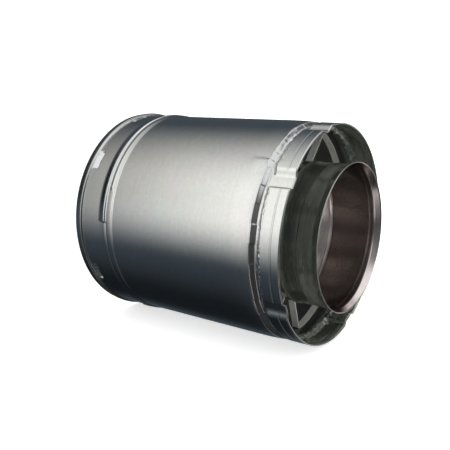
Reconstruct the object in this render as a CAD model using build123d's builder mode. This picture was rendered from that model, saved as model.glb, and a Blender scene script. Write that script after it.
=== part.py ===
"""Direct vent pipe section: an outer twist-lock pipe around a concentric inner flue pipe.

Millimetres, +Z up. The section stands on the rim of its socket, with its spigot end up.
The origin is on the floor, on the pipe's axis. Angles go round the pipe from -X towards -Y.
"""
from build123d import *
from math import cos, degrees, radians, sin
import os

# Outer pipe, stations along the axis from the socket's rim
outer_length = 228.6
rim_hem_width = 8.3
socket_depth = 36.0
front_ridge_width = 4.0
ridge_spacing = 5.5
back_ridge_width = 5.0
socket_step_width = 2.0
spigot_length = 18.6
groove_rise_width = 3.5
groove_floor_width = 1.5
groove_slope_width = 4.5
spigot_hem_width = 8.0

# Outer pipe, outside radius of the barrel and what differs from it
barrel_radius = 101.6
socket_swell = 0.5
rim_hem_height = 1.8
spigot_reduction = 1.0
groove_depth = 3.2
ridge_height = 0.9
outer_sheet = 0.5
rim_hem_rounding = 0.8

# Twist lock: lugs pressed into the socket, and the flutes that let them in
lock_angles = (13.0, 52.5, 118.5, 202.5)
lug_start = 9.0
lug_length = 6.5
lug_depth = 3.0
lug_back_slope = 0.6
lug_width = 18.6
flute_width = 18.4
flute_floor_width = 11.0
flute_depth = 3.5
flute_shoulder_fillet = 2.0
flute_floor_fillet = 1.5

# Inner flue pipe
inner_recess = 3.0
inner_projection = 16.2
tube_radius = 63.9
inner_sheet = 0.4
collar_clearance = 0.9
collar_step_width = 4.0
collar_step_position = 38.0
collar_bead_position = 23.5
collar_bead_width = 3.0
collar_bead_height = 0.8
lip_width = 6.5
lip_flare = 2.4

# Spacer straps that centre the inner pipe
strap_width = 7.0
strap_thickness = 0.8
strap_seat_gap = 0.1
strap_dips = 4
strap_first_dip = -12.0
dip_wall_half_angle = 16.0
dip_foot_half_angle = 8.0
strap_bend_radius = 2.5
tail_strap_position = 62.0
strap_step_gap = 0.5

# Margin by which a cutting shape runs past what it cuts
past = 5.0

# Outside radii and stations that follow from the sizes above
socket_radius = barrel_radius + socket_swell
rim_hem_radius = socket_radius + rim_hem_height
spigot_radius = barrel_radius - spigot_reduction
groove_radius = spigot_radius - groove_depth
flute_radius = spigot_radius - flute_depth
collar_radius = tube_radius + collar_clearance + inner_sheet
lip_radius = collar_radius + lip_flare
socket_step_start = socket_depth + ridge_spacing + back_ridge_width
barrel_start = socket_step_start + socket_step_width
spigot_start = outer_length - spigot_length
groove_floor_end = spigot_start - groove_rise_width
groove_floor_start = groove_floor_end - groove_floor_width
groove_start = groove_floor_start - groove_slope_width
inner_mouth = outer_length + inner_projection
lip_start = inner_mouth - lip_width
collar_start = outer_length - collar_step_position + collar_step_width
tube_end = collar_start - collar_step_width
bead_start = outer_length - collar_bead_position - collar_bead_width / 2

# Where the pipe stands: its axis is upright, and the hemmed rim rests on the floor
along = Vector(0, 0, 1)
angle_zero = Vector(-1, 0, 0)
axis_start = Vector(0, 0, 0)
pipe_axis = Axis(axis_start, along)


def outward(angle):
    """The direction away from the axis at this angle round the pipe."""
    return angle_zero * cos(radians(angle)) + along.cross(angle_zero) * sin(radians(angle))


def lengthwise_plane(angle=0.0):
    """A half-section: local X runs along the pipe, local Y is the radius."""
    return Plane(origin=axis_start, x_dir=along, z_dir=along.cross(outward(angle)))


def cross_plane(station):
    """A cross-section: local X points to angle zero, at this station along the pipe."""
    return Plane(origin=axis_start + along * station, x_dir=angle_zero, z_dir=along)


def fluted_outline(inset):
    """The spigot's outline, with an entry flute for each lug of the next pipe's socket."""
    floor, mouth = flute_floor_width / 2, flute_width / 2
    flank = (mouth - floor) / (spigot_radius - flute_radius)
    high, wide = spigot_radius + past, mouth + flank * past
    with BuildSketch() as outline:
        # the circle's seam is turned into the first flute, which cuts it away
        with Locations(Location((0, 0, 0), (0, 0, lock_angles[0]))):
            Circle(spigot_radius)
        with Locations(*[Location((0, 0, 0), (0, 0, angle)) for angle in lock_angles]):
            Polygon(
                (flute_radius, -floor),
                (high, -wide),
                (high, wide),
                (flute_radius, floor),
                align=None,
                mode=Mode.SUBTRACT,
            )
        shoulders = outline.vertices().filter_by(lambda v: Vector(v).length > spigot_radius - past / 100)
        fillet(shoulders, radius=flute_shoulder_fillet)
        floors = outline.vertices().filter_by(lambda v: Vector(v).length < flute_radius + floor / 5)
        fillet(floors, radius=flute_floor_fillet)
        if inset:
            offset(amount=-inset, mode=Mode.REPLACE)
    return outline.sketch


def trimmed_to_flutes(form, start, inset):
    """Cuts the form back to the fluted outline, from a station to past the mouth."""
    with BuildSketch(cross_plane(start)) as surplus:
        Circle(spigot_radius + 2 * past)
        add(fluted_outline(inset), mode=Mode.SUBTRACT)
    with BuildPart() as trimmed:
        add(form)
        extrude(surplus.sketch, amount=outer_length - start + 2 * past, mode=Mode.SUBTRACT)
    return trimmed.part


def outer_form(inset, overrun):
    """The solid inside the outer pipe's skin, or inside its sheet when inset by the sheet."""
    spigot_envelope = spigot_radius + past
    rise = (spigot_radius - groove_radius) / groove_rise_width
    envelope_start = groove_floor_end + (spigot_envelope - groove_radius) / rise
    with BuildPart() as form:
        with BuildSketch(lengthwise_plane()):
            with BuildLine():
                band_end = (socket_depth, socket_radius - inset)
                front_end = (socket_depth + front_ridge_width, socket_radius - inset)
                back_start = (socket_depth + ridge_spacing, socket_radius - inset)
                back_end = (socket_step_start, socket_radius - inset)
                Polyline((-overrun, 0), (-overrun, socket_radius - inset), band_end)
                SagittaArc(band_end, front_end, ridge_height)
                Line(front_end, back_start)
                SagittaArc(back_start, back_end, ridge_height)
                Polyline(
                    back_end,
                    (barrel_start, barrel_radius - inset),
                    (groove_start, barrel_radius - inset),
                    (groove_floor_start, groove_radius - inset),
                    (groove_floor_end, groove_radius - inset),
                    (envelope_start, spigot_envelope - inset),
                    (outer_length + overrun, spigot_envelope - inset),
                    (outer_length + overrun, 0),
                    (-overrun, 0),
                )
            make_face()
        revolve(axis=pipe_axis)
        # each lug is a wedge pressed in from outside, with its steep face towards the bead
        for angle in lock_angles:
            spread = lug_width / 2 + inset
            half_arc = degrees(spread / socket_radius)
            with BuildSketch(lengthwise_plane(angle - half_arc)) as wedge:
                Polygon(
                    (lug_start, socket_radius),
                    (lug_start + lug_length, socket_radius - lug_depth),
                    (lug_start + lug_length + lug_back_slope, socket_radius),
                    (lug_start + lug_length + lug_back_slope, socket_radius + past),
                    (lug_start, socket_radius + past),
                    align=None,
                )
                if inset:
                    offset(amount=inset, kind=Kind.INTERSECTION, mode=Mode.REPLACE)
            revolve(wedge.sketch, axis=pipe_axis, revolution_arc=2 * half_arc, mode=Mode.SUBTRACT)
    return trimmed_to_flutes(form.part, groove_floor_start - inset, inset)


def inner_form(inset, overrun):
    """The solid inside the inner pipe's skin, or inside its sheet when inset by the sheet."""
    with BuildPart() as form:
        with BuildSketch(lengthwise_plane()):
            with BuildLine():
                tail = inner_recess - overrun
                mouth = inner_mouth + overrun
                bead_near = (bead_start, collar_radius - inset)
                bead_far = (bead_start + collar_bead_width, collar_radius - inset)
                Polyline(
                    (tail, 0),
                    (tail, tube_radius - inset),
                    (tube_end, tube_radius - inset),
                    (collar_start, collar_radius - inset),
                    bead_near,
                )
                SagittaArc(bead_near, bead_far, collar_bead_height)
                flare = lip_radius + lip_flare / lip_width * overrun
                Polyline(
                    bead_far,
                    (lip_start, collar_radius - inset),
                    (mouth, flare - inset),
                    (mouth, 0),
                    (tail, 0),
                )
            make_face()
        revolve(axis=pipe_axis)
    return form.part


def strap_outline():
    """The spacer strap's outer side: round the outer pipe's wall, with dips to the inner pipe."""
    wall = barrel_radius - outer_sheet - strap_seat_gap
    foot = tube_radius + strap_seat_gap + strap_thickness
    dip_spacing = 360 / strap_dips

    def point(radius, angle):
        return radius * cos(radians(angle)), radius * sin(radians(angle))

    with BuildSketch() as outline:
        with BuildLine():
            for dip in range(strap_dips):
                centre = strap_first_dip + dip * dip_spacing
                wall_end = centre - dip_wall_half_angle
                wall_start = centre + dip_wall_half_angle
                next_wall_end = wall_end + dip_spacing
                foot_near, foot_far = centre - dip_foot_half_angle, centre + dip_foot_half_angle
                Line(point(wall, wall_end), point(foot, foot_near))
                ThreePointArc(point(foot, foot_near), point(foot, centre), point(foot, foot_far))
                Line(point(foot, foot_far), point(wall, wall_start))
                halfway = (wall_start + next_wall_end) / 2
                ThreePointArc(point(wall, wall_start), point(wall, halfway), point(wall, next_wall_end))
        make_face()
        fillet(outline.vertices(), radius=strap_bend_radius)
    return outline.sketch


def spacer_strap(start):
    """One spacer strap, bent from flat strip, standing on edge from this station."""
    with BuildSketch(cross_plane(start)) as section:
        add(strap_outline())
        offset(amount=-strap_thickness, mode=Mode.SUBTRACT)
    with BuildPart() as strap:
        extrude(section.sketch, amount=strap_width)
    return strap


# Outer pipe: rolled and swaged from one sheet
skin = outer_form(0, 0)
bore = trimmed_to_flutes(outer_form(outer_sheet, past), outer_length - spigot_hem_width, 2 * outer_sheet)
with BuildPart() as outer_pipe:
    add(skin)
    with BuildSketch(lengthwise_plane()) as rim_hem:
        with Locations((0, socket_radius - outer_sheet)):
            Rectangle(rim_hem_width, rim_hem_radius - socket_radius + outer_sheet, align=(Align.MIN, Align.MIN))
        fillet(rim_hem.vertices().group_by(Axis.Y)[-1], radius=rim_hem_rounding)
    revolve(rim_hem.sketch, axis=pipe_axis)
    add(bore, mode=Mode.SUBTRACT)

# Inner flue pipe: a plain tail, swaged out to a collar with a flared lip
with BuildPart() as inner_pipe:
    add(inner_form(0, 0))
    add(inner_form(inner_sheet, past), mode=Mode.SUBTRACT)

# Spacers, one behind each end
mouth_spacer = spacer_strap(tube_end - strap_step_gap - strap_width)
tail_spacer = spacer_strap(tail_strap_position)

outer_pipe.part.label = "outer_pipe"
inner_pipe.part.label = "inner_pipe"
mouth_spacer.part.label = "mouth_spacer"
tail_spacer.part.label = "tail_spacer"

os.makedirs("parts", exist_ok=True)
export_step(outer_pipe.part, "parts/outer_pipe.step")
export_step(inner_pipe.part, "parts/inner_pipe.step")
export_step(mouth_spacer.part, "parts/mouth_spacer.step")
export_step(tail_spacer.part, "parts/tail_spacer.step")
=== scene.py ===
"""Dresses the direct vent pipe section: sheet metal surfaces, spacer straps and the stage."""

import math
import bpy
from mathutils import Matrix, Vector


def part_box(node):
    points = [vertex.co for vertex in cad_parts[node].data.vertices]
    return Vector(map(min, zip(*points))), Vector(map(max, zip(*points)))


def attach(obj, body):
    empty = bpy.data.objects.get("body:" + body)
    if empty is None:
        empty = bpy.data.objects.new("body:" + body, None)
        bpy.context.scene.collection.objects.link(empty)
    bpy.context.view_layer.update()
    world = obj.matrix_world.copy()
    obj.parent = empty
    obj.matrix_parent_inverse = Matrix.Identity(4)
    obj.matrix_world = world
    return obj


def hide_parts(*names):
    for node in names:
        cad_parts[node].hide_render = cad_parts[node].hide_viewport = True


bl_info = {
    "name": "Direct Vent Pipe Section",
    "version": (1, 0, 0),
    "blender": (4, 5, 0),
    "location": "View3D > Sidebar > Vent Pipe",
    "description": "Builds the sheet metal look of a double-wall vent pipe around its packed frame",
    "category": "Object",
}

import bpy
from bpy.props import FloatProperty, FloatVectorProperty, IntProperty, PointerProperty
from mathutils import Matrix, Vector, noise

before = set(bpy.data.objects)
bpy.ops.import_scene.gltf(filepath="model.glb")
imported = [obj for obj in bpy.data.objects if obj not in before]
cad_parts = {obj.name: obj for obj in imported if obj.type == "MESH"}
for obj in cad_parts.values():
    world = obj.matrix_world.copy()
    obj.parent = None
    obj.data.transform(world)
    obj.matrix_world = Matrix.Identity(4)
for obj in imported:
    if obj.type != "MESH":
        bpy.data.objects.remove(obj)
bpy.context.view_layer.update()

MM = 0.001
BODY = "root"

# Lengths in millimetres, with stations along the pipe counted from the rim that it stands on
outer_low, outer_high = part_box("outer_pipe")
inner_low, inner_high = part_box("inner_pipe")
OUTER_LENGTH = (outer_high.z - outer_low.z) / MM
TAIL = (inner_low.z - outer_low.z) / MM
MOUTH = (inner_high.z - outer_low.z) / MM

# The socket: its lugs, each a ramp with a short steep back and a half width in degrees, and the two
# ridges of its stop bead
LUG_START = 9.0
LUG_LENGTH = 6.5
LUG_BACK = 0.9
LUG_HALF_WIDTH = 5.0
BEAD_START = 36.0
FRONT_RIDGE = 4.0
RIDGE_SPACING = 5.5
BACK_RIDGE = 5.0
SOCKET_END = BEAD_START + RIDGE_SPACING + BACK_RIDGE
BARREL_START = SOCKET_END + 2.0

# The spigot, and the locking groove behind it
SPIGOT_START = OUTER_LENGTH - 18.6
GROOVE_FLOOR_END = SPIGOT_START - 3.5
GROOVE_FLOOR_START = GROOVE_FLOOR_END - 1.5
GROOVE_START = GROOVE_FLOOR_START - 4.5
DRAWN_LENGTH = 20.5
HEM_LINE = OUTER_LENGTH - 8.6

# Where the dressed outer pipe is parted into its two formed ends and the barrel
SOCKET_CUT = 50.0
SPIGOT_CUT = 197.0

# The flutes: the angle of each, and how wide the shoulder on each of its sides is, in degrees
FLUTES = ((13.0, 5.2, 4.6), (52.5, 4.2, 1.3), (118.5, 2.4, 5.0), (202.5, 2.0, 2.0))
FLUTE_HALF_WIDTH = 5.4

# Angles of the marks that forming left: where the bead's ridges are flat, and the grooving wheel's strokes
FRONT_RIDGE_FLAT = 86.5
BACK_RIDGE_FLAT = 69.5
FLAT_END = 150.0
STROKES_START = 57.0
STROKE = 9.4


def on_pipe(station, radius, angle):
    """A point in metres, from millimetres along the pipe and out from its axis and degrees from -X to -Y."""
    turn = math.radians(angle)
    return Vector((-radius * math.cos(turn), -radius * math.sin(turn), outer_low.z / MM + station)) * MM


def smooth(edge_a, edge_b, value):
    """0 before edge_a, 1 after edge_b, with a soft rise between them."""
    share = min(1.0, max(0.0, (value - edge_a) / (edge_b - edge_a)))
    return share * share * (3 - 2 * share)


def edges(start, full, last_full, end, value):
    """1 between full and last_full, fading to 0 at start and end."""
    return smooth(start, full, value) * (1 - smooth(last_full, end, value))


def window(start, end, fade, value):
    """1 between start and end, fading to 0 outside them."""
    return edges(start - fade, start, end, end + fade, value)


def mix(a, b, share):
    return a + (b - a) * share


def turn_between(angle, centre):
    """The signed angle from centre to angle, between -180 and 180 degrees."""
    return (angle - centre + 180) % 360 - 180


def roughly(station, angle, grain_along, grain_round, seed=0.0):
    """Smooth noise on the pipe's surface, -1 to 1, with grains of these sizes in millimetres."""
    turn = math.radians(angle)
    reach = 100.0 / grain_round
    place = Vector((reach * math.cos(turn), reach * math.sin(turn), station / grain_along + seed))
    return noise.noise(place)


def length(name, default, description):
    return FloatProperty(name=name, default=default, description=description, min=0, unit="NONE")


def colour(name, default, description):
    return FloatVectorProperty(
        name=name, default=default, description=description, size=3, min=0, max=1, subtype="COLOR"
    )


class VentOuterPipe(bpy.types.PropertyGroup):
    """Sizes of the outer pipe's sheet in millimetres, and its colours"""

    rim_hem: length("Rim Hem Width", 8.3, "Width of the rolled rim at the socket end, in mm")
    hem_height: length("Rim Hem Height", 1.8, "How far the rolled rim stands out, in mm")
    socket_swell: length("Socket Swell", 0.5, "How much wider the socket is than the barrel, in mm")
    ridge_height: length("Bead Height", 0.9, "Height of the two ridges of the stop bead, in mm")
    barrel: length("Barrel Radius", 101.6, "Outside radius of the barrel, in mm")
    spigot_drop: length("Spigot Reduction", 1.0, "How much smaller the spigot is, in mm")
    groove_drop: length("Groove Depth", 3.2, "Depth of the locking groove below the spigot, in mm")
    flute_drop: length("Flute Depth", 3.5, "Depth of the entry flutes below the spigot, in mm")
    lug_drop: length("Lug Depth", 3.0, "How far the socket's lugs are pressed in, in mm")
    sheet: length("Sheet", 0.5, "Thickness of the sheet, in mm")
    columns: IntProperty(name="Columns", default=900, description="Mesh columns round its ends", min=60)
    zinc: colour("Zinc", (0.62, 0.63, 0.63), "Colour of the galvanised sheet")
    zinc_inside: colour("Zinc Inside", (0.55, 0.58, 0.53), "Colour of the dull inside of the sheet")
    # painted shade: the lining between the ends gets this darker zinc for the shade deep inside the pipe
    zinc_deep_painted_shade: colour("Zinc Deep Inside", (0.33, 0.34, 0.33), "Colour of the lining between the ends")


class VentInnerPipe(bpy.types.PropertyGroup):
    """Sizes of the inner flue pipe in millimetres, and its colours"""

    tube: length("Tube Radius", 63.9, "Outside radius of the plain tube, in mm")
    collar: length("Collar Radius", 65.2, "Outside radius of the collar, in mm")
    lip: length("Lip Radius", 67.6, "Outside radius of the flared lip, in mm")
    bead_height: length("Bead Height", 0.8, "Height of the collar's bead, in mm")
    sheet: length("Sheet", 0.4, "Thickness of the sheet, in mm")
    columns: IntProperty(name="Columns", default=360, description="Mesh columns round the pipe", min=60)
    outside: colour("Outside", (0.50, 0.52, 0.47), "Colour of the flue sheet outside")
    # painted shade: the collar's inside is dark brownish, and its darkness stands for the shade deep inside
    # the pipe
    inside: colour("Inside", (0.24, 0.2, 0.187), "Colour inside the collar, tinted by heat")
    # painted highlight: the lip's inside is made pale for the light that it catches at the mouth
    lip_inside: colour("Lip Inside", (0.84, 0.77, 0.75), "Colour of the lip's bright inner face")
    # painted reflection: the tube's inside behind the collar is made pale for the bright crescent that it
    # reflects
    tube_inside: colour("Tube Inside", (0.90, 0.87, 0.85), "Colour inside the tube behind the collar")


class VentSpacers(bpy.types.PropertyGroup):
    """Colour of the two spacer straps"""

    # painted light: the strip is made near white and barely metallic, paler than its zinc, so that it reads
    # bright inside the pipe
    strip: colour("Strip", (1.0, 1.0, 0.92), "Colour of the dull spacer strip")


class VentStage(bpy.types.PropertyGroup):
    """Camera, floor and light"""

    azimuth: FloatProperty(
        name="Azimuth", default=math.radians(35.5), subtype="ANGLE",
        description="From square on to the pipe towards its spigot end",
    )
    elevation: FloatProperty(
        name="Elevation", default=math.radians(12.3), subtype="ANGLE",
        description="From -Y towards -X, the picture's top",
    )
    distance: FloatProperty(name="Distance", default=0.6275, description="Camera to pipe", unit="LENGTH")
    lens: FloatProperty(
        name="Lens", default=49.9, unit="CAMERA", description="Focal length in mm on a 36 mm sensor"
    )
    aside: FloatProperty(name="Aside", default=0.0068, description="Camera shift left", unit="LENGTH")
    above: FloatProperty(name="Above", default=0.00445, description="Camera shift down", unit="LENGTH")


def new_mesh(name, vertices, faces, materials, material_of_face=None):
    """A smooth-shaded mesh object that rides on the pipe."""
    mesh = bpy.data.meshes.new(name)
    mesh.from_pydata([tuple(v) for v in vertices], [], faces)
    for material in materials:
        mesh.materials.append(material)
    mesh.polygons.foreach_set("use_smooth", [True] * len(mesh.polygons))
    if material_of_face:
        mesh.polygons.foreach_set("material_index", material_of_face)
    mesh.update()
    piece = bpy.data.objects.new(name, mesh)
    bpy.context.scene.collection.objects.link(piece)
    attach(piece, BODY)
    return piece


def nodes_of(name):
    """A new material, with helpers that add and link its nodes."""
    material = bpy.data.materials.new(name)
    material.use_nodes = True
    tree = material.node_tree

    def add(kind, **values):
        node = tree.nodes.new(kind)
        for key, value in values.items():
            if hasattr(node, key):
                setattr(node, key, value)
            else:
                node.inputs[key].default_value = value
        return node

    def link(source, output, target, entry):
        tree.links.new(source.outputs[output], target.inputs[entry])

    return material, add, link


def sheet_metal(name, tint, roughness, brushing, spangle, grime, metallic=1.0):
    """Bare sheet with brushing round the pipe, faint spangle and dull patches."""
    material, add, link = nodes_of(name)
    shader = material.node_tree.nodes["Principled BSDF"]
    shader.inputs["Metallic"].default_value = metallic
    place = add("ShaderNodeTexCoord")
    rings = add("ShaderNodeMapping")
    rings.inputs["Scale"].default_value = (40, 40, 1400)
    link(place, "Object", rings, "Vector")
    streak = add("ShaderNodeTexNoise", Scale=1.0, Detail=3.0)
    link(rings, "Vector", streak, "Vector")
    crystal = add("ShaderNodeTexVoronoi", Scale=420.0)
    link(place, "Object", crystal, "Vector")
    cloud = add("ShaderNodeTexNoise", Scale=22.0, Detail=4.0)
    link(place, "Object", cloud, "Vector")
    # roughness follows the streaks and the dull patches
    rough_low = add("ShaderNodeMapRange")
    rough_low.inputs["To Min"].default_value = roughness - brushing
    rough_low.inputs["To Max"].default_value = roughness + brushing
    link(streak, "Fac", rough_low, "Value")
    rough_cloud = add("ShaderNodeMath", operation="MULTIPLY_ADD")
    rough_cloud.inputs[1].default_value = grime
    link(cloud, "Fac", rough_cloud, 0)
    link(rough_low, "Result", rough_cloud, 2)
    link(rough_cloud, "Value", shader, "Roughness")
    # colour: spangle and streaks darken the tint a little
    tone = add("ShaderNodeMapRange")
    tone.inputs["To Min"].default_value = 1 - spangle
    tone.inputs["To Max"].default_value = 1.0
    link(crystal, "Color", tone, "Value")
    tone_streak = add("ShaderNodeMapRange")
    tone_streak.inputs["To Min"].default_value = 0.92
    tone_streak.inputs["To Max"].default_value = 1.06
    link(streak, "Fac", tone_streak, "Value")
    both = add("ShaderNodeMath", operation="MULTIPLY")
    link(tone, "Result", both, 0)
    link(tone_streak, "Result", both, 1)
    # faint stains shift the tint from place to place
    stain = add("ShaderNodeVectorMath", operation="MULTIPLY_ADD")
    stain.inputs[1].default_value = (0.1, 0.1, 0.1)
    stain.inputs[2].default_value = (0.95, 0.95, 0.95)
    link(cloud, "Color", stain, 0)
    stained = add("ShaderNodeVectorMath", operation="MULTIPLY")
    stained.inputs[1].default_value = tuple(tint)
    link(stain, "Vector", stained, 0)
    base = add("ShaderNodeVectorMath", operation="SCALE")
    link(stained, "Vector", base, 0)
    link(both, "Value", base, "Scale")
    link(base, "Vector", shader, "Base Color")
    # relief: fine rings
    relief = add("ShaderNodeBump", Strength=0.03, Distance=0.0003)
    link(streak, "Fac", relief, "Height")
    link(relief, "Normal", shader, "Normal")
    return material


def stations(stretches):
    """Stations along the pipe from (start, end, step) stretches."""
    found = []
    for start, end, step in stretches:
        count = max(1, round((end - start) / step))
        found += [start + (end - start) * i / count for i in range(count)]
    found.append(stretches[-1][1])
    return found


def skin_profile(sizes, station):
    """Outside radius of the outer pipe at a station, without lugs, flutes and marks."""
    socket = sizes.barrel + sizes.socket_swell
    spigot = sizes.barrel - sizes.spigot_drop
    groove = spigot - sizes.groove_drop
    if station <= sizes.rim_hem:
        rounding = 0.8
        fall = max(0.0, rounding - station, station - (sizes.rim_hem - rounding))
        droop = 0.9 * (1 - smooth(0, 7.5, station))
        rounded_off = rounding - math.sqrt(max(0.0, rounding ** 2 - fall ** 2))
        return socket + sizes.hem_height - droop - rounded_off
    if station < GROOVE_START - DRAWN_LENGTH:
        return socket - sizes.socket_swell * smooth(SOCKET_END, BARREL_START, station)
    # the barrel is drawn in a little before the groove
    drawn = sizes.barrel - 0.8 * ((station - GROOVE_START) / DRAWN_LENGTH + 1) ** 2
    radius = mix(drawn, groove, smooth(GROOVE_START, GROOVE_FLOOR_START, station))
    if station >= GROOVE_FLOOR_END:
        radius = mix(groove, spigot, smooth(GROOVE_FLOOR_END, SPIGOT_START, station))
    return radius - 0.12 * window(HEM_LINE, HEM_LINE + 0.6, 0.8, station)


def stop_bead(sizes, station, angle):
    """Height of the two ridges of the stop bead, which are pressed flatter on one stretch."""
    flat_front = window(FRONT_RIDGE_FLAT, FLAT_END, 0.6, angle)
    nick = window(BACK_RIDGE_FLAT - 1.1, BACK_RIDGE_FLAT - 0.5, 0.4, angle)
    flat_back = max(window(BACK_RIDGE_FLAT, FLAT_END, 1.2, angle), 0.8 * nick)
    for start, width, share, flat in (
        (BEAD_START, FRONT_RIDGE, 1.2, flat_front),
        (BEAD_START + RIDGE_SPACING, BACK_RIDGE, 0.8, flat_back),
    ):
        if start < station < start + width:
            height = share * sizes.ridge_height * (1 - 0.93 * flat)
            return height * math.sin(math.pi * (station - start) / width)
    return -0.35 * flat_front * window(BEAD_START + 4.4, BEAD_START + 5.1, 0.3, station)


def groove_marks(station, angle):
    """Chatter that the grooving wheel left on the locking groove, in millimetres."""
    on_front = window(STROKES_START, 112, 1.5, angle)
    on_top = window(17, 47, 1.5, angle)
    rise = window(GROOVE_FLOOR_END + 0.1, SPIGOT_START + 0.5, 0.8, station)
    slope = window(GROOVE_START + 0.3, GROOVE_FLOOR_END - 0.5, 0.8, station)
    chain = roughly(station, angle, 1.6, 2.4)
    blotch = roughly(station, angle, 2.5, 5.0, seed=7.0)
    return mix(0.16, 0.4, on_front) * chain * rise + 0.45 * blotch * slope * on_top


def inner_chatter(station, angle):
    """Crumpling on the inside of the groove, where the sheet was gathered, in millimetres inwards."""
    gathered = window(GROOVE_START + 0.3, SPIGOT_START + 0.5, 0.8, station)
    return 1.7 * gathered * max(0.0, roughly(station, angle, 2.2, 3.5, seed=7.0) + 0.1)


def flute_crease(station, angle):
    """Height of the crease that pressing the front flute left on the barrel beside it, in millimetres."""
    sharp_side, soft_side = 43.6, 52.0
    height = smooth(sharp_side - 0.8, sharp_side, angle) * (1 - smooth(sharp_side, soft_side, angle))
    return 0.55 * height * window(GROOVE_START - 6.5, GROOVE_START + 2.5, 14, station)


def groove_shift(angle):
    """How far each stroke of the grooving wheel lies along the pipe, in millimetres."""
    number = math.floor((angle - STROKES_START) / STROKE)
    return 0.35 * math.sin(number * 2.4)


def outer_skin(sizes, station, angle):
    """Outside radius of the outer pipe at a station and angle."""
    spigot = sizes.barrel - sizes.spigot_drop
    if GROOVE_START - 2.5 < station < SPIGOT_START + 2.0:
        shift = groove_shift(angle) * window(GROOVE_START - 0.5, SPIGOT_START, 1.5, station)
        radius = skin_profile(sizes, station + shift) + groove_marks(station, angle)
    else:
        radius = skin_profile(sizes, station) + stop_bead(sizes, station, angle)
    radius += flute_crease(station, angle)
    for centre, shoulder_before, shoulder_after in FLUTES:
        turn = turn_between(angle, centre)
        flute = smooth(-FLUTE_HALF_WIDTH, -FLUTE_HALF_WIDTH + shoulder_before, turn)
        flute *= 1 - smooth(FLUTE_HALF_WIDTH - shoulder_after, FLUTE_HALF_WIDTH, turn)
        flute *= smooth(SPIGOT_START - 6.0, SPIGOT_START - 2.5, station)
        if flute > 0:
            floor = spigot - sizes.flute_drop
            radius = min(radius, radius + (floor - radius) * flute)
        lug = 1 - smooth(LUG_HALF_WIDTH, LUG_HALF_WIDTH + 0.5, abs(turn))
        if station < BEAD_START and lug > 0:
            ragged = station + 0.9 * roughly(0, angle, 1.0, 3.0, seed=3.0) - LUG_START
            dip = min(ragged / LUG_LENGTH, 1 - (ragged - LUG_LENGTH) / LUG_BACK)
            radius -= sizes.lug_drop * max(0.0, dip) * lug
    return radius


def strip(rows, columns):
    """Vertices and faces of an open strip round the pipe, from rows of a station and a radius function."""
    vertices, faces = [], []
    for number, (station, radius_at) in enumerate(rows):
        for column in range(columns):
            angle = 360 * column / columns
            vertices.append(on_pipe(station, radius_at(station, angle), angle))
            if number:
                here, beside = column, (column + 1) % columns
                below, row = (number - 1) * columns, number * columns
                faces.append((below + here, below + beside, row + beside, row + here))
    return vertices, faces


def facing_axis(vertices, face):
    """Whether a face looks towards the pipe's axis."""
    a, b, c = (vertices[v] for v in face[:3])
    normal = (b - a).cross(c - b)
    return normal.x * a.x + normal.y * a.y < 0


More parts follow.
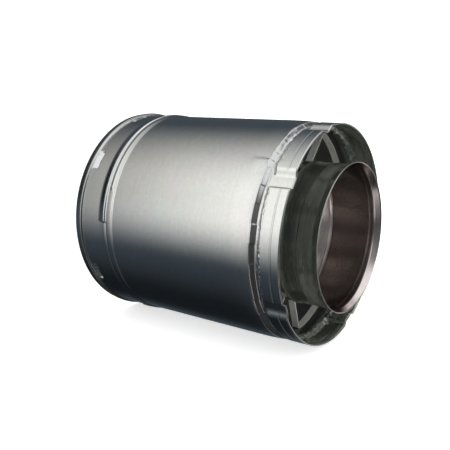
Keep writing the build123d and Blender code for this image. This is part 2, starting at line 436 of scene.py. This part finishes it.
class VENT_OT_outer_pipe(bpy.types.Operator):
    """Makes the outer pipe's sheet, with its lugs, bead, groove and flutes"""

    bl_idname = "vent.outer_pipe"
    bl_label = "Outer Pipe"

    def execute(self, context):
        sizes = context.scene.vent_outer_pipe
        socket = sizes.barrel + sizes.socket_swell

        def outside(station, angle):
            return outer_skin(sizes, station, angle)

        def inside(station, angle):
            skin = outer_skin(sizes, station, angle)
            if station <= sizes.rim_hem:
                skin = socket
            hem = smooth(HEM_LINE + 0.3, HEM_LINE + 0.8, station)
            return skin - sizes.sheet * (1 + hem) - inner_chatter(station, angle)

        def rows(radius_at, *stretches):
            return [(station, radius_at) for station in stations(stretches)]

        zinc = sheet_metal(
            "galvanised_sheet", sizes.zinc, roughness=0.16, brushing=0.03, spangle=0.06, grime=0.03
        )
        dull_zinc = sheet_metal(
            "galvanised_sheet_inside", sizes.zinc_inside,
            roughness=0.22, brushing=0.05, spangle=0.06, grime=0.05, metallic=0.96,
        )
        # the lining between the ends is darker, as painted shade deep inside the pipe
        lining_painted_shade = sheet_metal(
            "galvanised_sheet_lining", sizes.zinc_deep_painted_shade,
            roughness=0.3, brushing=0.05, spangle=0.06, grime=0.05, metallic=0.9,
        )
        # stretches of start, end and step, with finer steps where the sheet is formed
        socket_lining = rows(
            inside, (0, 8, 4), (8, 18, 0.8), (18, BEAD_START, 6), (BEAD_START, SOCKET_CUT, 1.5)
        )
        socket_skin = rows(
            outside, (0, 1, 0.25), (1, 7.3, 2), (7.3, 8.4, 0.22), (8.4, 18, 0.6), (18, BEAD_START, 6),
            (BEAD_START, SOCKET_CUT, 0.6),
        )
        barrel_skin = rows(outside, (SOCKET_CUT, 180, 13), (180, SPIGOT_CUT, 3.4))
        barrel_lining = rows(inside, (SOCKET_CUT, SPIGOT_CUT, 24))
        spigot_skin = rows(
            outside, (SPIGOT_CUT, 200, 1.5), (200, 212, 0.5), (212, 218.8, 2.5), (218.8, 222, 0.4),
            (222, OUTER_LENGTH, 1.2),
        )
        spigot_lining = rows(
            inside, (SPIGOT_CUT, 212, 0.6), (212, 220, 3), (220, 221, 0.5), (221, OUTER_LENGTH, 3)
        )
        pieces = []
        for name, strips, columns, inner_metal in (
            ("outer_socket_end", (socket_lining[::-1] + socket_skin,), sizes.columns, dull_zinc),
            ("outer_barrel", (barrel_skin, barrel_lining[::-1]), sizes.columns // 2, lining_painted_shade),
            ("outer_spigot_end", (spigot_skin + spigot_lining[::-1],), sizes.columns, dull_zinc),
        ):
            vertices, faces = [], []
            for part in strips:
                first = len(vertices)
                new_vertices, new_faces = strip(part, columns)
                vertices += new_vertices
                faces += [tuple(first + v for v in face) for face in new_faces]
            # faces that look towards the axis get the duller metal of the inside; between the ends that is
            # the darker lining, painted shade deep inside the pipe
            facing_in = [int(facing_axis(vertices, face)) for face in faces]
            metals = [zinc, inner_metal]
            pieces.append(new_mesh(name, vertices, faces, metals, facing_in))
        for piece in pieces:
            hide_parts("outer_pipe")
        return {"FINISHED"}


def ring_mark(station, angle):
    """Faint broken ring that forming left on the collar, about 0 to 1."""
    start = OUTER_LENGTH - 3.8
    return window(start, start + 0.8, 1.0, station) * (0.6 + roughly(0, angle, 1.0, 12.0))


class VENT_OT_inner_pipe(bpy.types.Operator):
    """Makes the inner flue pipe, with its collar, bead and flared lip"""

    bl_idname = "vent.inner_pipe"
    bl_label = "Inner Pipe"

    def execute(self, context):
        sizes = context.scene.vent_inner_pipe
        lip_start = MOUTH - 6.5
        tube_end = OUTER_LENGTH - 38.0
        collar_start = tube_end + 4.0
        bead_start = OUTER_LENGTH - 25.0
        bead_width = 3.0
        bead_end = bead_start + bead_width

        def outside(station, angle):
            radius = mix(sizes.tube, sizes.collar, smooth(tube_end, collar_start, station))
            if bead_start < station < bead_end:
                radius += sizes.bead_height * math.sin(math.pi * (station - bead_start) / bead_width)
            flared = max(0.0, station - lip_start) / (MOUTH - lip_start)
            return radius + (sizes.lip - sizes.collar) * flared

        def inside(station, angle):
            if bead_start < station < bead_end:
                return sizes.collar - sizes.sheet
            return outside(station, angle) - sizes.sheet

        def marked(station, angle):
            return outside(station, angle) + 0.18 * ring_mark(station, angle)

        along = stations([
            (TAIL, tube_end, 20), (tube_end, collar_start, 0.5), (collar_start, bead_start, 3),
            (bead_start, bead_end, 0.3), (bead_end, 223, 8), (223, 227.5, 0.5), (227.5, lip_start, 5),
            (lip_start, MOUTH, 1.0),
        ])
        skin = [(station, marked) for station in along]
        lining = [(station, inside) for station in reversed(along)]
        vertices, faces = strip(skin + lining + skin[:1], sizes.columns)
        skin_faces = (len(skin) - 1) * sizes.columns
        lip_rows = sum(station >= lip_start for station in along)
        collar_rows = sum(station > collar_start + 0.2 for station in along)
        lip_faces, collar_faces = (sizes.columns * (rows + 1) for rows in (lip_rows, collar_rows))

        def material_of(number):
            """0 for the skin, 1 for the lip's inside, 2 for the collar's and 3 for the tube's."""
            ends = (skin_faces, skin_faces + lip_faces, skin_faces + collar_faces)
            return sum(number >= end for end in ends)

        outer_sheet = sheet_metal(
            "flue_sheet", sizes.outside,
            roughness=0.20, brushing=0.06, spangle=0.05, grime=0.10, metallic=0.95,
        )
        # the lip's inside is pale, a painted highlight at the mouth
        lip = sheet_metal(
            "flue_sheet_lip", sizes.lip_inside, roughness=0.16, brushing=0.04, spangle=0.08, grime=0.06
        )
        # the collar's inside is dark, as painted shade deep inside the pipe
        collar_inside_painted_shade = sheet_metal(
            "flue_sheet_collar_inside", sizes.inside,
            roughness=0.16, brushing=0.04, spangle=0.05, grime=0.06, metallic=0.97,
        )
        # the tube's inside is smooth and pale, the paleness a painted reflection of the bright crescent
        smooth_with_painted_reflection = sheet_metal(
            "flue_sheet_tube_inside", sizes.tube_inside,
            roughness=0.10, brushing=0.02, spangle=0.03, grime=0.03, metallic=0.85,
        )
        piece = new_mesh(
            "inner_pipe_sheet", vertices, faces, [outer_sheet, lip, collar_inside_painted_shade, smooth_with_painted_reflection],
            [material_of(number) for number in range(len(faces))],
        )
        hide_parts("inner_pipe")
        return {"FINISHED"}


class VENT_OT_spacers(bpy.types.Operator):
    """Finishes the two spacer straps"""

    bl_idname = "vent.spacers"
    bl_label = "Spacer Straps"

    def execute(self, context):
        # near-white, barely metallic strip: painted light, paler than its zinc
        strip_metal = sheet_metal(
            "spacer_strip", context.scene.vent_spacers.strip,
            roughness=0.40, brushing=0.05, spangle=0.05, grime=0.10, metallic=0.15,
        )
        for name in ("mouth_spacer", "tail_spacer"):
            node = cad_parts[name]
            node.data.materials.clear()
            node.data.materials.append(strip_metal)
        return {"FINISHED"}


COOL = (0.78, 1.0, 1.2)
WARM = (1.02, 1.0, 0.95)
PLAIN = (1.0, 1.0, 1.0)

# The studio's softboxes: where each begins, is full, is last full and ends, in degrees round the pipe and
# by the height of the direction along it, -1 down to 1 up, then its brightness and its colour
SOFTBOXES = (
    # a broad key on the front and top, that fades towards the floor
    ((-50, 50, 70, 125), (-0.9, -0.45, -0.4, -0.1), 1.5, WARM),
    # its upper half, that rounded edges catch
    ((-60, -10, 75, 120), (-0.3, -0.1, 0.0, 0.15), 1.3, PLAIN),
    # a dim wall behind, and a brighter one above it for the back and the sides
    ((-160, -130, -60, 20), (-2.0, -1.0, -0.4, -0.3), 0.07, COOL),
    ((-180, -120, -50, 20), (-0.4, -0.25, -0.15, 0.15), 0.4, PLAIN),
    # the floor's dim sheen, and a weak glow above it on the dark side
    ((60, 100, 110, 180), (-2.0, -1.0, -0.4, -0.3), 0.065, COOL),
    ((90, 130, 220, 250), (-0.4, -0.25, -0.2, -0.1), 0.12, PLAIN),
    # strips that the flared lip catches: in front, behind and below
    ((-60, -20, 60, 80), (0.0, 0.15, 0.2, 0.35), 1.0, PLAIN),
    ((-150, -120, -100, -70), (0.0, 0.15, 1.0, 2.0), 0.6, PLAIN),
    ((105, 120, 155, 170), (0.0, 0.15, 0.2, 0.35), 0.7, PLAIN),
    # a pale ceiling in front, and a small lamp on it
    ((-100, -60, 60, 130), (0.0, 0.4, 1.0, 2.0), 0.1, PLAIN),
    ((-45, -5, 15, 50), (0.2, 0.4, 1.0, 2.0), 1.0, PLAIN),
)
DARK_STUDIO = 0.015
DIM_CEILING = 0.045

# How much white the floor and board add for the camera, so that they match the background
CAMERA_LIFT = 0.6


def studio_light(angle, rise):
    """The studio's colour in a direction: degrees round the pipe, and -1 down to 1 up along it."""
    light = mix(Vector(COOL) * DARK_STUDIO, Vector(PLAIN) * DIM_CEILING, smooth(0.0, 0.4, rise))
    for across, along, brightness, tint in SOFTBOXES:
        reach = max(edges(*across, angle), edges(*across, angle + 360))
        light += Vector(tint) * brightness * reach * edges(*along, rise)
    return light


def studio_dome():
    """A sphere that glows with the softboxes' light, which only the metal's reflections see."""
    radius, rings, columns = 2.5, 72, 144
    centre = OUTER_LENGTH / 2
    vertices, faces, tones = [], [], []
    for ring in range(rings + 1):
        slope = math.pi * ring / rings
        rise, spread = math.cos(slope), math.sin(slope)
        for column in range(columns):
            angle = 360 * column / columns - 180
            vertices.append(on_pipe(centre + radius / MM * rise, radius / MM * spread, angle))
            tones += [*studio_light(angle, rise), 1]
            if ring:
                beside = (column + 1) % columns
                row, above = ring * columns, (ring - 1) * columns
                faces.append((above + column, above + beside, row + beside, row + column))
    mesh = bpy.data.meshes.new("studio_dome")
    mesh.from_pydata([tuple(v) for v in vertices], [], faces)
    mesh.attributes.new("tone", "FLOAT_COLOR", "POINT").data.foreach_set("color", tones)
    material, add, link = nodes_of("studio_dome")
    tone = add("ShaderNodeAttribute", attribute_name="tone")
    glow = add("ShaderNodeEmission")
    link(tone, "Color", glow, "Color")
    link(glow, "Emission", material.node_tree.nodes["Material Output"], "Surface")
    mesh.materials.append(material)
    dome = bpy.data.objects.new("studio_dome", mesh)
    bpy.context.scene.collection.objects.link(dome)
    dome.visible_camera = False
    dome.visible_diffuse = False
    dome.visible_shadow = False


def white_sheet(name, corners):
    """A white plane that keeps soft shadows, seen paler by the camera, and from its front only."""
    mesh = bpy.data.meshes.new(name)
    mesh.from_pydata(corners, [], [(0, 1, 2, 3)])
    white, add, link = nodes_of(name)
    matte = add("ShaderNodeBsdfDiffuse", Color=(1, 1, 1, 1))
    seen = add("ShaderNodeLightPath")
    pale = add("ShaderNodeMath", operation="MULTIPLY")
    pale.inputs[1].default_value = CAMERA_LIFT
    link(seen, "Is Camera Ray", pale, 0)
    glow = add("ShaderNodeEmission")
    link(pale, "Value", glow, "Strength")
    front = add("ShaderNodeAddShader")
    link(matte, "BSDF", front, 0)
    link(glow, "Emission", front, 1)
    side = add("ShaderNodeNewGeometry")
    clear = add("ShaderNodeBsdfTransparent")
    one_sided = add("ShaderNodeMixShader")
    link(side, "Backfacing", one_sided, 0)
    link(front, "Shader", one_sided, 1)
    link(clear, "BSDF", one_sided, 2)
    link(one_sided, "Shader", white.node_tree.nodes["Material Output"], "Surface")
    mesh.materials.append(white)
    sheet = bpy.data.objects.new(name, mesh)
    bpy.context.scene.collection.objects.link(sheet)
    sheet.visible_glossy = False
    return sheet


def backdrop():
    """The floor, and a white board beside the pipe that stands where the photo has its floor."""
    reach = 6.0
    side = outer_high.x + 0.0002
    white_sheet("floor", [(-reach, -reach, 0), (reach, -reach, 0), (reach, reach, 0), (-reach, reach, 0)])
    board = white_sheet(
        "board", [(side, -reach, 0), (side, -reach, reach), (side, reach, reach), (side, reach, 0)]
    )
    board.visible_diffuse = False
    board.visible_shadow = False


class VENT_OT_stage(bpy.types.Operator):
    """Makes the camera, the white floor, the lamp and the studio that the metal reflects"""

    bl_idname = "vent.stage"
    bl_label = "Stage"

    def execute(self, context):
        scene = context.scene
        stage = scene.vent_stage
        # the camera looks down on the standing pipe, turned so that the pipe lies in the picture
        lens = bpy.data.cameras.new("camera")
        lens.sensor_width = 36
        lens.lens = stage.lens
        camera = bpy.data.objects.new("camera", lens)
        scene.collection.objects.link(camera)
        scene.camera = camera
        az, el = stage.azimuth, stage.elevation
        back = Vector((-math.sin(el), -math.cos(az) * math.cos(el), math.sin(az) * math.cos(el)))
        right = Vector((0, math.sin(az), math.cos(az)))
        up = back.cross(right)
        middle = on_pipe(OUTER_LENGTH / 2, 0, 0)
        place = middle + back * stage.distance - right * stage.aside - up * stage.above
        camera.matrix_world = Matrix.Translation(place) @ Matrix((right, up, back)).transposed().to_4x4()
        scene.view_settings.view_transform = "Standard"
        world = bpy.data.worlds.new("studio")
        scene.world = world
        world.use_nodes = True
        world.node_tree.nodes["Background"].inputs["Color"].default_value = (1, 1, 1, 1)
        world.node_tree.nodes["Background"].inputs["Strength"].default_value = 1.0
        # a broad lamp overhead keeps the floor white
        lamp = bpy.data.lights.new("overhead", "AREA")
        lamp.shape = "SQUARE"
        lamp.size = 3.0
        lamp.energy = 25.0
        overhead = bpy.data.objects.new("overhead", lamp)
        overhead.location = (-0.3, -0.2, 3.0)
        overhead.visible_camera = False
        overhead.visible_glossy = False
        scene.collection.objects.link(overhead)
        backdrop()
        studio_dome()
        return {"FINISHED"}


class VENT_PT_panel(bpy.types.Panel):
    """Lists the makers of the vent pipe's pieces"""

    bl_idname = "VENT_PT_panel"
    bl_label = "Vent Pipe"
    bl_space_type = "VIEW_3D"
    bl_region_type = "UI"
    bl_category = "Vent Pipe"

    def draw(self, context):
        column = self.layout.column()
        for operator in OPERATORS:
            column.operator(operator.bl_idname)


GROUPS = {
    "vent_outer_pipe": VentOuterPipe,
    "vent_inner_pipe": VentInnerPipe,
    "vent_spacers": VentSpacers,
    "vent_stage": VentStage,
}
OPERATORS = (VENT_OT_outer_pipe, VENT_OT_inner_pipe, VENT_OT_spacers, VENT_OT_stage)


def register():
    for group in GROUPS.values():
        bpy.utils.register_class(group)
    for name, group in GROUPS.items():
        setattr(bpy.types.Scene, name, PointerProperty(type=group))
    for item in (*OPERATORS, VENT_PT_panel):
        bpy.utils.register_class(item)


def unregister():
    for item in (VENT_PT_panel, *reversed(OPERATORS)):
        bpy.utils.unregister_class(item)
    for name in GROUPS:
        delattr(bpy.types.Scene, name)
    for group in reversed(GROUPS.values()):
        bpy.utils.unregister_class(group)


def main():
    register()
    bpy.ops.vent.outer_pipe()
    bpy.ops.vent.inner_pipe()
    bpy.ops.vent.spacers()
    bpy.ops.vent.stage()


if __name__ == "__main__":
    main()
